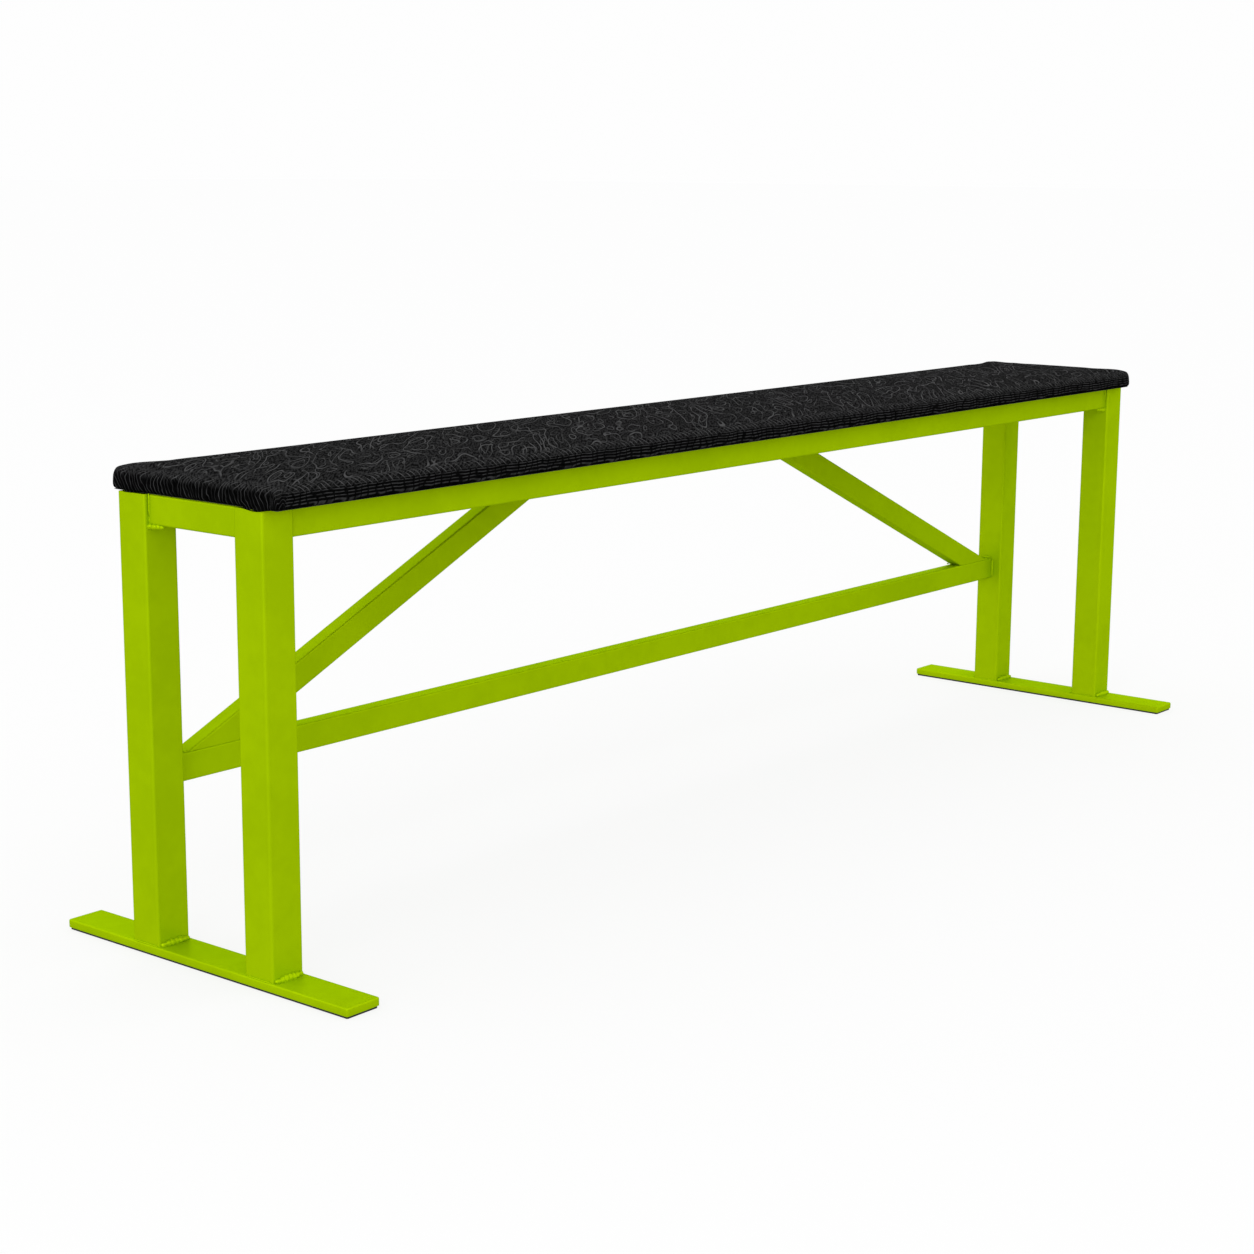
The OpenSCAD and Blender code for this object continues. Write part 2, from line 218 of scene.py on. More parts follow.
def new_group(name, inputs, outputs):
    """A node group, with its Group Input and Group Output nodes."""
    group = bpy.data.node_groups.new(name, "ShaderNodeTree")
    kinds = {"value": "NodeSocketFloat", "colour": "NodeSocketColor", "place": "NodeSocketVector"}
    for label, kind in inputs:
        group.interface.new_socket(label, in_out="INPUT", socket_type=kinds[kind])
    for label, kind in outputs:
        group.interface.new_socket(label, in_out="OUTPUT", socket_type=kinds[kind])
    return group, group.nodes.new("NodeGroupInput"), group.nodes.new("NodeGroupOutput")


def place_group(tree, group, **inputs):
    """A group placed in a material with its own values."""
    return add_node(tree, "ShaderNodeGroup", {"node_tree": group}, **inputs)


print("node helpers ready")

# %% [markdown]
# ## A coated surface
#
# Powder coat, moulded rubber and zinc plate look different, but their surfaces
# vary in the same three ways. The tone drifts slowly over a hand's width, the
# gloss changes in patches, and the skin has a fine orange peel. One shared group
# makes all three from noise at three sizes, and each finish sets how strong they
# are.

# %% The coated surface group
coat, coat_in, coat_out = new_group(
    "coated_surface",
    [("Place", "place"), ("Colour", "colour"), ("Deep colour", "colour"), ("Roughness", "value"),
     ("Patchiness", "value"), ("Peel size", "value")],
    [("Colour", "colour"), ("Roughness", "value"), ("Height", "value")],
)
drift = cloud(coat, coat_in.outputs["Place"], 7.0, 3.0)
specks = cloud(coat, coat_in.outputs["Place"], 55.0, 3.0)
peel = cloud(coat, coat_in.outputs["Place"], coat_in.outputs["Peel size"], 1.0)
drift_share = 0.65
tone = sum_node(
    coat, "ADD",
    sum_node(coat, "MULTIPLY", drift, drift_share), sum_node(coat, "MULTIPLY", specks, 1 - drift_share),
)
deep = ramp(coat, tone, 0.38, 0.64)
coat.links.new(
    blend_colours(coat, deep, coat_in.outputs["Colour"], coat_in.outputs["Deep colour"]),
    coat_out.inputs["Colour"],
)
patch = sum_node(coat, "MULTIPLY", sum_node(coat, "SUBTRACT", specks, 0.5), coat_in.outputs["Patchiness"])
coat.links.new(sum_node(coat, "ADD", coat_in.outputs["Roughness"], patch), coat_out.inputs["Roughness"])
coat.links.new(peel, coat_out.inputs["Height"])
print("coated surface group:", len(coat.nodes), "nodes")

# %% [markdown]
# ## Woven threads
#
# Both cloths on the bench are woven. Seen close, a plain weave is a grid of small
# rounded humps where a thread goes over and pits where it goes under. Two
# waves at right angles, multiplied, give the humps and pits. The group puts out
# their height and how deep in a pit each point is, and the cloths use that to paint shade in the pits.

# %% The woven threads group
weave, weave_in, weave_out = new_group(
    "woven_threads",
    [("Place", "place"), ("Threads", "value")],
    [("Height", "value"), ("Pit", "value")],
)
weave_place = add_node(weave, "ShaderNodeSeparateXYZ", Vector=weave_in.outputs["Place"])
turns = sum_node(weave, "MULTIPLY", weave_in.outputs["Threads"], math.pi)
warp_wave = sum_node(weave, "SINE", sum_node(weave, "MULTIPLY", weave_place.outputs["X"], turns))
weft_wave = sum_node(weave, "SINE", sum_node(weave, "MULTIPLY", weave_place.outputs["Y"], turns))
hump = sum_node(weave, "ABSOLUTE", sum_node(weave, "MULTIPLY", warp_wave, weft_wave))
weave.links.new(hump, weave_out.inputs["Height"])
weave.links.new(ramp(weave, hump, 0.05, 0.45, 1.0, 0.0), weave_out.inputs["Pit"])
print("woven threads group:", len(weave.nodes), "nodes")

# %% [markdown]
# ## Lines of one width
#
# The seat cloth is drawn all over with thin raised lines, like the contours of a
# map. A contour is where a slowly changing height is half way between two whole
# numbers. Cut straight from noise, such lines would be fat on gentle slopes and
# thin on steep ones. So the group samples the noise at three near points, finds the
# slope, and divides by it, which keeps every line the same width in metres. It
# also puts out a groove, the narrow strip on both sides of a line.

# %% The contour lines group
contours, contours_in, contours_out = new_group(
    "contour_lines",
    [("Place", "place"), ("Loops", "value"), ("Levels", "value"), ("Width", "value")],
    [("Line", "value"), ("Groove", "value")],
)
bend = add_node(contours, "ShaderNodeTexNoise", Vector=contours_in.outputs["Place"], Scale=20.0, Detail=0.5)
bend_shift = vector_node(contours, "SCALE", bend.outputs["Color"])
bend_shift.inputs["Scale"].default_value = 0.022
bent = vector_node(contours, "ADD", contours_in.outputs["Place"], bend_shift.outputs[0])

near = 0.0004
levels = []
for step in ((0, 0, 0), (near, 0, 0), (0, near, 0)):
    moved = vector_node(contours, "ADD", bent.outputs[0], step)
    height = cloud(contours, moved.outputs[0], contours_in.outputs["Loops"], 0.6)
    levels.append(sum_node(contours, "MULTIPLY", height, contours_in.outputs["Levels"]))
squares = []
for level in levels[1:]:
    slope = sum_node(contours, "DIVIDE", sum_node(contours, "SUBTRACT", level, levels[0]), near)
    squares.append(sum_node(contours, "POWER", slope, 2.0))
steepness = sum_node(contours, "SQRT", sum_node(contours, "ADD", *squares))
past_whole = sum_node(contours, "FRACT", levels[0])
off_line = sum_node(contours, "ABSOLUTE", sum_node(contours, "SUBTRACT", past_whole, 0.5))
least_slope = 40.0
away = sum_node(contours, "DIVIDE", off_line, sum_node(contours, "MAXIMUM", steepness, least_slope))
half_width = sum_node(contours, "MULTIPLY", contours_in.outputs["Width"], 0.5)
line = ramp(contours, away, sum_node(contours, "MULTIPLY", half_width, 0.55), half_width, 1.0, 0.0)
groove_out = ramp(contours, away, half_width, sum_node(contours, "MULTIPLY", half_width, 2.6), 1.0, 0.0)
contours.links.new(line, contours_out.inputs["Line"])
contours.links.new(sum_node(contours, "SUBTRACT", groove_out, line), contours_out.inputs["Groove"])
print("contour lines group:", len(contours.nodes), "nodes")

# %% [markdown]
# ## Straight rows of lines
#
# Where the cloth is pulled over the pad's edges its pattern becomes rows: ribs
# along the sides, strokes over the shoulders, and arcs at the ends. A row is a
# saw-tooth of the distance over the spacing, and a line wherever the tooth is near
# its middle.

# %% The rows group
rows, rows_in, rows_out = new_group(
    "rows_of_lines",
    [("Distance", "value"), ("Spacing", "value"), ("Width", "value")],
    [("Line", "value")],
)
tooth = sum_node(rows, "DIVIDE", rows_in.outputs["Distance"], rows_in.outputs["Spacing"])
tooth = sum_node(rows, "FRACT", tooth)
tooth_off = sum_node(rows, "ABSOLUTE", sum_node(rows, "SUBTRACT", tooth, 0.5))
row_away = sum_node(rows, "MULTIPLY", tooth_off, rows_in.outputs["Spacing"])
row_half = sum_node(rows, "MULTIPLY", rows_in.outputs["Width"], 0.5)
rows.links.new(
    ramp(rows, row_away, sum_node(rows, "MULTIPLY", row_half, 0.4), row_half, 1.0, 0.0),
    rows_out.inputs["Line"],
)
print("rows group:", len(rows.nodes), "nodes")

# %% [markdown]
# ## The frame's finish
#
# The steel is powder coated: a plastic skin, baked on, in one strong yellow-green.
# It is half glossy and mottled very slightly. Its highlights keep the paint's own
# hue, as the flakes in the powder do on the real coat, so part of the reflection
# is coloured by giving the shader a share of metal.

# %% Powder coat, rubber and zinc
def new_material(name):
    """An empty material: its graph, its shader and its object coordinates."""
    material = bpy.data.materials.new(name)
    material.use_nodes = True
    tree = material.node_tree
    shader = tree.nodes["Principled BSDF"]
    place = tree.nodes.new("ShaderNodeTexCoord").outputs["Object"]
    return material, tree, shader, place


def bump_from(tree, shader, height, depth, strength=1.0):
    """Join a height to the shader's normal. The depth is in metres."""
    bump = add_node(tree, "ShaderNodeBump", Height=height, Distance=depth, Strength=strength)
    tree.links.new(bump.outputs["Normal"], shader.inputs["Normal"])


def coated(name, colour, deep_colour, roughness, patchiness, peel_size, peel_depth):
    """A finish from the coated surface group."""
    material, tree, shader, place = new_material(name)
    skin = place_group(tree, coat, Place=place, Colour=colour, Deep_colour=deep_colour, Roughness=roughness,
                       Patchiness=patchiness, Peel_size=peel_size)
    tree.links.new(skin.outputs["Colour"], shader.inputs["Base Color"])
    tree.links.new(skin.outputs["Roughness"], shader.inputs["Roughness"])
    bump_from(tree, shader, skin.outputs["Height"], peel_depth)
    return material, shader


powder_coat, powder_shader = coated(
    "green_powder_coat", (0.336, 0.505, 0.0006), (0.306, 0.466, 0.0005), 0.36, 0.10, 620.0, 0.00001)
powder_shader.inputs["Metallic"].default_value = 0.35
powder_shader.inputs["Specular IOR Level"].default_value = 0.0
powder_shader.inputs["Specular Tint"].default_value = (0.50, 0.72, 0.01, 1)

black_rubber, rubber_shader = coated(
    "black_rubber", (0.016, 0.016, 0.016), (0.009, 0.009, 0.010), 0.72, 0.20, 900.0, 0.00004)
rubber_shader.inputs["Specular IOR Level"].default_value = 0.3

zinc, zinc_shader = coated(
    "zinc_steel", (0.62, 0.63, 0.65), (0.48, 0.49, 0.52), 0.34, 0.25, 1400.0, 0.00001)
zinc_shader.inputs["Metallic"].default_value = 1.0
print("coated finishes:", powder_coat.name, black_rubber.name, zinc.name)

# %% [markdown]
# ## Plywood and the dust cloth
#
# Neither shows much. The seat's board is birch plywood with long soft grain and
# darker glue lines between its layers. The dust cloth is a thin black cloth, and
# it takes the woven threads group at a fine thread.

# %% Plywood and dust cloth
plywood, ply_tree, ply_shader, ply_place = new_material("plywood")
stretched = add_node(ply_tree, "ShaderNodeMapping", Vector=ply_place, Scale=(0.06, 1.0, 1.0))
grain = cloud(ply_tree, stretched.outputs["Vector"], 90.0, 6.0)
height_in_board = add_node(ply_tree, "ShaderNodeSeparateXYZ", Vector=ply_place)
glue = place_group(ply_tree, rows, Distance=height_in_board.outputs["Z"], Spacing=0.0024, Width=0.0006)
wood = blend_colours(ply_tree, grain, (0.66, 0.44, 0.24), (0.48, 0.29, 0.14))
ply_tree.links.new(
    blend_colours(ply_tree, glue.outputs["Line"], wood, (0.20, 0.11, 0.05)),
    ply_shader.inputs["Base Color"],
)
ply_tree.links.new(ramp(ply_tree, grain, 0.2, 0.8, 0.55, 0.75), ply_shader.inputs["Roughness"])
bump_from(ply_tree, ply_shader, grain, 0.0002)

dust_black, dust_tree, dust_shader, dust_place = new_material("dust_cloth")
dust_threads = place_group(dust_tree, weave, Place=dust_place, Threads=1200.0)
dust_fade = cloud(dust_tree, dust_place, 40.0)
# Painted shade: the pits between the threads are darkened, by an amount that the noise varies.
dust_tree.links.new(
    blend_colours(dust_tree, sum_node(dust_tree, "MULTIPLY", dust_threads.outputs["Pit"], dust_fade),
                  (0.020, 0.020, 0.021), (0.006, 0.006, 0.006)),
    dust_shader.inputs["Base Color"],
)
dust_tree.links.new(ramp(dust_tree, dust_fade, 0.3, 0.7, 0.85, 0.95), dust_shader.inputs["Roughness"])
bump_from(dust_tree, dust_shader, dust_threads.outputs["Height"], 0.0001)
print("hidden finishes:", plywood.name, dust_black.name)

# %% [markdown]
# ## The seat cloth
#
# The cover is a black upholstery cloth. Its ground is a fine dark weave, and the
# contour lines on it are raised and a shade lighter. Towards the pad's long edges
# the contours give way to short slanted strokes, the sides carry ribs broken by
# dark gaps, and at the ends long bowed arcs run down. The cloth reads its own UV
# map, which holds metres measured along the cloth, so the lines run over the
# rounded edges without stretching. Its map is made with the pad. The
# contours themselves are drawn out to five times their width along one slant of
# the cloth, because they have to read as loops from a seated person's low view.

# %% Seat cloth
cover_low, cover_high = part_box("seat_cover")
half_length = (cover_high.x - cover_low.x) / 2
half_depth = (cover_high.y - cover_low.y) / 2

seat_fabric, cloth, cloth_shader, _ = new_material("seat_fabric")
flat = add_node(cloth, "ShaderNodeUVMap", {"uv_map": "cloth"}).outputs["UV"]
along_across = add_node(cloth, "ShaderNodeSeparateXYZ", Vector=flat)
along = along_across.outputs["X"]
across = along_across.outputs["Y"]
from_middle = sum_node(cloth, "ABSOLUTE", across)
from_centre = sum_node(cloth, "ABSOLUTE", along)

past_edge = sum_node(cloth, "SUBTRACT", from_middle, half_depth)
past_end = sum_node(cloth, "SUBTRACT", from_centre, half_length)
waver = cloud(cloth, flat, 26.0)


def both(*masks):
    """The product of masks: 1 only where every mask is 1."""
    result = masks[0]
    for mask in masks[1:]:
        result = sum_node(cloth, "MULTIPLY", result, mask)
    return result


def band(value, rise_from, rise_to, fall_from, fall_to):
    """A mask that rises, stays at 1 and falls again."""
    return both(ramp(cloth, value, rise_from, rise_to), ramp(cloth, value, fall_from, fall_to, 1.0, 0.0))


def wavering(distance, amount):
    """A distance made uneven by the soft noise."""
    return sum_node(cloth, "ADD", distance, sum_node(cloth, "MULTIPLY", waver, amount))


print("the seat's edges are", round(half_length, 3), "and", round(half_depth, 3), "m from its middle")

# %% The contours on top
drawn_out = 5
across_slant = vector_node(cloth, "DOT_PRODUCT", flat, (-0.64, 0.77, 0)).outputs["Value"]
along_slant = vector_node(cloth, "DOT_PRODUCT", flat, (0.77 / drawn_out, 0.64 / drawn_out, 0))
along_slant = along_slant.outputs["Value"]
drawn = add_node(cloth, "ShaderNodeCombineXYZ", X=across_slant, Y=along_slant).outputs[0]
bold = place_group(cloth, contours, Place=drawn, Loops=31.0, Levels=6.2, Width=0.0020)
fine = place_group(cloth, contours, Place=drawn, Loops=62.0, Levels=4.0, Width=0.0015)
top_area = both(
    ramp(cloth, past_edge, -0.016, -0.008, 1.0, 0.0),
    ramp(cloth, past_end, -0.030, -0.014, 1.0, 0.0),
)
bold_here = ramp(cloth, cloud(cloth, drawn, 44.0, 1.0), 0.38, 0.60, 0.18, 0.85)
fine_here = ramp(cloth, cloud(cloth, drawn, 70.0, 1.0), 0.38, 0.58, 0.16, 0.74)
top_lines = both(
    sum_node(cloth, "MAXIMUM", both(bold.outputs["Line"], bold_here), both(fine.outputs["Line"], fine_here)),
    top_area,
)

# %% The strokes and ribs at the edges
slanted = sum_node(cloth, "SUBTRACT", along, sum_node(cloth, "MULTIPLY", past_edge, 0.55))
strokes = place_group(cloth, rows, Distance=wavering(slanted, 0.016), Spacing=0.0094, Width=0.0023)
stroke_here = ramp(cloth, cloud(cloth, flat, 60.0, 1.0), 0.38, 0.58, 0.25, 1.0)
shoulder = band(past_edge, -0.017, -0.009, 0.003, 0.008)
shoulder_lines = both(strokes.outputs["Line"], stroke_here, shoulder)

gaps = place_group(cloth, rows, Distance=wavering(along, 0.060), Spacing=0.0150, Width=0.0048)
ribs = place_group(cloth, rows, Distance=wavering(past_edge, 0.006), Spacing=0.0040, Width=0.0017)
rib_here = ramp(cloth, cloud(cloth, flat, 80.0, 1.0), 0.34, 0.60, 0.45, 1.0)
on_side = ramp(cloth, past_edge, 0.001, 0.005)
not_gap = sum_node(cloth, "SUBTRACT", 1.0, both(gaps.outputs["Line"], 0.92))
side_lines = both(ribs.outputs["Line"], not_gap, rib_here, on_side)

# %% The arcs at the ends
bow = sum_node(cloth, "POWER", sum_node(cloth, "ADD", past_end, -0.006), 2.0)
bowed = sum_node(cloth, "ADD", across, sum_node(cloth, "MULTIPLY", bow, 22.0))
arcs = place_group(cloth, rows, Distance=wavering(bowed, 0.030), Spacing=0.0066, Width=0.0016)
arc_here = ramp(cloth, cloud(cloth, flat, 60.0, 1.0), 0.36, 0.62, 0.22, 0.92)
at_end = ramp(cloth, past_end, -0.026, -0.012)
end_lines = both(arcs.outputs["Line"], arc_here, at_end)

# %% Colour and relief of the seat cloth
off_ends = ramp(cloth, past_end, -0.022, -0.010, 1.0, 0.0)
long_lines = both(sum_node(cloth, "MAXIMUM", shoulder_lines, side_lines), off_ends)
all_lines = sum_node(cloth, "MAXIMUM", sum_node(cloth, "MAXIMUM", top_lines, long_lines), end_lines)
threads = place_group(cloth, weave, Place=flat, Threads=480.0)
turned_down = sum_node(cloth, "MAXIMUM", past_edge, past_end)
turned_down = ramp(cloth, turned_down, -0.004, 0.008)
nap = ramp(cloth, cloud(cloth, drawn, 400.0, 1.0), 0.36, 0.64)
ground = blend_colours(cloth, nap, (0.0028, 0.0028, 0.0029), (0.0245, 0.0245, 0.0248))
# Painted shade: the pits between the threads are darkened.
ground = blend_colours(cloth, both(threads.outputs["Pit"], 0.5), ground, (0.0040, 0.0040, 0.0041))
# Painted shade: the narrow groove on both sides of each bold line is darkened.
painted_groove_shade = both(bold.outputs["Groove"], bold_here, top_area, 0.8)
ground = blend_colours(cloth, painted_groove_shade, ground, (0.0020, 0.0020, 0.0021))
# Painted shade: where the cloth turns down over the sides and ends, both its ground and its lines are made
# darker than on top, for the light that falls mostly on the top.
ground_with_side_shade = blend_colours(cloth, both(turned_down, 0.90), ground, (0.0008, 0.0008, 0.0008))
line_grey_with_side_shade = blend_colours(cloth, turned_down, (0.066, 0.066, 0.067), (0.036, 0.036, 0.037))
cloth.links.new(blend_colours(cloth, all_lines, ground_with_side_shade, line_grey_with_side_shade), cloth_shader.inputs["Base Color"])
cloth.links.new(ramp(cloth, all_lines, 0.0, 1.0, 0.95, 0.80), cloth_shader.inputs["Roughness"])
relief = sum_node(cloth, "ADD", sum_node(cloth, "MULTIPLY", threads.outputs["Height"], 0.15), all_lines)
bump_from(cloth, cloth_shader, relief, 0.0004, 0.7)
cloth_shader.inputs["Specular IOR Level"].default_value = 0.0
print("seat cloth:", len(cloth.nodes), "nodes, for a pad", round(2 * half_length, 3), "m long")

# %% [markdown]
# ## Finishes on the CAD parts
#
# The tubes, straps and fasteners keep their CAD shape. Each only gets its finish,
# by putting the new material in the object's slots.

# %% Give each part its finish
finishes = {
    "green_powder_coat": powder_coat,
    "black_rubber": black_rubber,
    "seat_fabric": seat_fabric,
    "plywood": plywood,
    "dust_cloth": dust_black,
    "zinc_steel": zinc,
}


def finish_of(name):
    """The finish that a CAD part's name asks for."""
    if name.startswith("foot_strip"):
        return "black_rubber"
    if name in ("t_nuts", "seat_screws", "seat_washers", "staples"):
        return "zinc_steel"
    return {"seat_board": "plywood", "dust_cloth": "dust_cloth", "seat_cover": "seat_fabric",
            "seat_foam": "seat_fabric"}.get(name, "green_powder_coat")


for name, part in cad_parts.items():
    for spot in part.material_slots:
        spot.material = finishes[finish_of(name)]
print("finished", len(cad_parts), "CAD parts")

# %% [markdown]
# ## Modelling helpers
#
# An operator works on whatever is selected, so each piece starts from a clean
# selection. Edges and faces are picked in code by where they are. When a piece is
# done its place is applied to its mesh, because every finished piece keeps its
# object at the origin.

# %% Selection and placing
def clamped(value):
    """The value held between 0 and 1."""
    return max(0.0, min(1.0, value))


def select_only(*pieces):
    """Leave edit mode and select these objects alone. The last one is active."""
    if bpy.context.object and bpy.context.object.mode != "OBJECT":
        bpy.ops.object.mode_set(mode="OBJECT")
    bpy.ops.object.select_all(action="DESELECT")
    for piece in pieces:
        piece.select_set(True)
        bpy.context.view_layer.objects.active = piece


def add_block(name, low, high):
    """A cube made to fill the box between two corners."""
    select_only()
    size = Vector(high) - Vector(low)
    bpy.ops.mesh.primitive_cube_add(size=1, location=(Vector(low) + Vector(high)) / 2, scale=size)
    block = bpy.context.object
    block.name = name
    block.data.name = name
    bpy.ops.object.transform_apply(location=True, rotation=True, scale=True)
    return block


def bevel_edges(piece, test, width, segments):
    """Round the edges whose two ends pass the test."""
    select_only(piece)
    bpy.context.tool_settings.mesh_select_mode = (False, True, False)
    points = [v.co.copy() for v in piece.data.vertices]
    for group in (piece.data.vertices, piece.data.polygons):
        group.foreach_set("select", [False] * len(group))
    picked = [test(*(points[i] for i in edge.vertices)) for edge in piece.data.edges]
    piece.data.edges.foreach_set("select", picked)
    bpy.ops.object.mode_set(mode="EDIT")
    bpy.ops.mesh.bevel(offset=width, segments=segments, profile=0.5, affect="EDGES")
    bpy.ops.object.mode_set(mode="OBJECT")
    return sum(picked)


def upright(a, b):
    """An edge that stands straight up."""
    return abs(a.z - b.z) > 1e-4 and (a.xy - b.xy).length < 1e-5


def level_at(height):
    """A test for edges that lie at one height."""
    return lambda a, b: abs(a.z - height) < 1e-5 and abs(b.z - height) < 1e-5


def apply_modifier(piece, kind, name, **settings):
    """Add a modifier, set it and apply it."""
    select_only(piece)
    made = piece.modifiers.new(name, kind)
    for key_word, value in settings.items():
        setattr(made, key_word, value)
    bpy.ops.object.modifier_apply(modifier=name)


def copy_piece(piece, name, matrix):
    """A copy with its own mesh, moved by a matrix that is applied to the mesh."""
    twin = piece.copy()
    twin.data = piece.data.copy()
    twin.name = name
    twin.data.name = name
    bpy.context.scene.collection.objects.link(twin)
    twin.data.transform(matrix)
    if matrix.determinant() < 0:
        twin.data.flip_normals()
    return twin


def smooth_under(piece, degrees):
    """Shade smooth, but keep edges sharper than this angle."""
    select_only(piece)
    bpy.ops.object.shade_smooth_by_angle(angle=math.radians(degrees))


def finish_piece(piece, finish, *stands_for):
    """Give a piece its finish and its slot, and let it stand for its CAD parts."""
    piece.data.materials.clear()
    piece.data.materials.append(finishes[finish])
    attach(piece, "root")
    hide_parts(*stands_for)
    print(piece.name, "has", len(piece.data.polygons), "faces and stands for", ", ".join(stands_for))


print("modelling helpers ready")

# %% [markdown]
# ## Foot bars
#
# Each end of the bench stands on a flat steel bar. A sawn bar has nearly square
# corners, but grinding and a thick coat of powder round every edge by about a
# millimetre, and that roundness is what catches the light. So a block gets its
# four upright edges rounded first, and then its upper and lower rims.

# %% Model a foot bar and its strip
bar_low, bar_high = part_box("foot_bar_left")
foot_bar = add_block("foot_bar_west", bar_low, bar_high)
bevel_edges(foot_bar, upright, 0.0030, 5)
rims = bevel_edges(foot_bar, level_at(bar_high.z), 0.0021, 4)
bevel_edges(foot_bar, level_at(bar_low.z), 0.0012, 3)
smooth_under(foot_bar, 50)
print("foot bar", round(bar_high.y - bar_low.y, 3), "m long, rim of", rims, "edges")

strip_low, strip_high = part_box("foot_strip_left")
foot_strip = add_block("foot_strip_west", strip_low, strip_high)
bevel_edges(foot_strip, upright, 0.0020, 4)
bevel_edges(foot_strip, level_at(strip_low.z), 0.0006, 2)
smooth_under(foot_strip, 50)

# %% Copy them to the other end
across_bench = Matrix.Scale(-1, 4, (1, 0, 0))
finish_piece(foot_bar, "green_powder_coat", "foot_bar_left")
finish_piece(copy_piece(foot_bar, "foot_bar_east", across_bench), "green_powder_coat", "foot_bar_right")
finish_piece(foot_strip, "black_rubber", "foot_strip_left")
finish_piece(copy_piece(foot_strip, "foot_strip_east", across_bench), "black_rubber", "foot_strip_right")

# %% [markdown]
# ## Weld beads
#
# A weld is laid as a row of small overlapping pools of molten steel, and the
# powder fills and softens the steps between them. One pool is a squashed sphere.
# An array repeats it along the seam, each seam is turned into its corner, and a
# fine voxel remesh melts the pools of a joint into one closed bead. A little noise
# keeps two beads from being alike.

# %% Lay a bead along a seam
pools = random.Random(11)
# Shares of a bead's size: a pool's radius and the step to the next pool, how far
# out of the corner the row lies, and how much the noise moves the surface
pool_radius = 0.60
pool_step = 0.62
row_out = 0.22
roughening = 0.10
# A pool at the very end has this share of its full thickness, and the thickness
# is full this many sizes further in
end_share = 0.62
taper = 1.2


def lay_bead(start, end, on_base, up_wall, size):
    """A row of pools from start to end, in the corner between two faces.

    on_base and up_wall are directions away from the corner along the two faces.
    """
    start, end, on_base, up_wall = (Vector(v) for v in (start, end, on_base, up_wall))
    length = (end - start).length
    count = max(2, round(length / (size * pool_step)))
    select_only()
    bpy.ops.mesh.primitive_uv_sphere_add(segments=12, ring_count=8, radius=size * pool_radius)
    bead = bpy.context.object
    bead.data.transform(Matrix.Diagonal((0.85, 1, 1, 1)))
    apply_modifier(bead, "ARRAY", "row", count=count, use_relative_offset=False, use_constant_offset=True,
                   constant_offset_displace=(length / (count - 1), 0, 0))
    for vertex in bead.data.vertices:
        from_end = min(vertex.co.x, length - vertex.co.x) / (taper * size)
        vertex.co.yz *= end_share + (1 - end_share) * clamped(from_end)
    on_base.normalize()
    up_wall.normalize()
    turned = Matrix(((end - start).normalized(), on_base, up_wall)).transposed().to_4x4()
    bead.data.transform(Matrix.Translation(start + (on_base + up_wall) * size * row_out) @ turned)
    drift_by = Vector([pools.uniform(0, 9) for _ in range(3)])
    for vertex in bead.data.vertices:
        vertex.co += noise.noise_vector(vertex.co * 180 + drift_by) * size * roughening
    return bead


def melt(beads, name):
    """Join the beads of a joint into one closed, softened mesh."""
    select_only(*beads)
    bpy.ops.object.join()
    joined = bpy.context.object
    joined.name = name
    joined.data.name = name
    apply_modifier(joined, "REMESH", "melt", mode="VOXEL", voxel_size=0.0007)
    apply_modifier(joined, "SMOOTH", "soften", factor=0.5, iterations=2)
    select_only(joined)
    bpy.ops.object.shade_smooth()
    return joined


def beads_round(centre, out, sides, sizes, corner):
    """Beads round a tube that stands on a flat face.

    out is the face's outward direction. Each side is a direction, the tube's half size
    that way and its half size the other way. sizes has one bead size for each side.
    """
    made = []
    for (side, reach, half_run), size in zip(sides, sizes):
        side = Vector(side)
        run = Vector(out).cross(side).normalized() * (half_run - corner - size * 0.3)
        foot = Vector(centre) + side * reach
        made.append(lay_bead(foot - run, foot + run, side, out, size))
    return made


print("bead helpers ready")

# %% Weld the legs to the foot bars
leg_corner = 0.0038
ledge = bar_high.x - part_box("leg_front_left")[1].x
foot_beads = []
for name in ("leg_front_left", "leg_front_right", "leg_rear_left", "leg_rear_right"):
    leg_low, leg_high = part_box(name)
    half = (leg_high.x - leg_low.x) / 2
    base = ((leg_low.x + leg_high.x) / 2, (leg_low.y + leg_high.y) / 2, leg_low.z)
    sides = [(side, half, half) for side in ((0, -1, 0), (0, 1, 0), (1, 0, 0), (-1, 0, 0))]
    foot_beads += beads_round(base, (0, 0, 1), sides, (0.0092, 0.0060, ledge, ledge), leg_corner)
finish_piece(melt(foot_beads, "foot_weld_beads"), "green_powder_coat", "foot_welds")

# %% Weld the rails to the legs
rail_corner = 0.003


def half_open_joint(corner, outward, inward, half):
    """The outer side of a joint that is filled only low down.

    The bead bridges the joint there. Above, it sits on the rail's own edge and leaves a
    groove open beside the leg. It ends in a lumpy stop along the rail's lower outer edge.
    """
    down = Vector((0, 0, -half))
    face = corner - outward * 0.0010
    ridge = face + outward * 0.0006 + inward * 0.0012
    stop = corner + down - outward * 0.0030
    return [
        lay_bead(face + down * 0.92, face + down * 0.40, outward, inward, 0.0022),
        lay_bead(ridge + down * 0.35, ridge - down * 0.98, outward, inward, 0.0027),
        lay_bead(stop, stop + inward * 0.010, outward, down, 0.0104),
        lay_bead(stop + inward * 0.010, stop + inward * 0.023, outward, down, 0.0068),
    ]


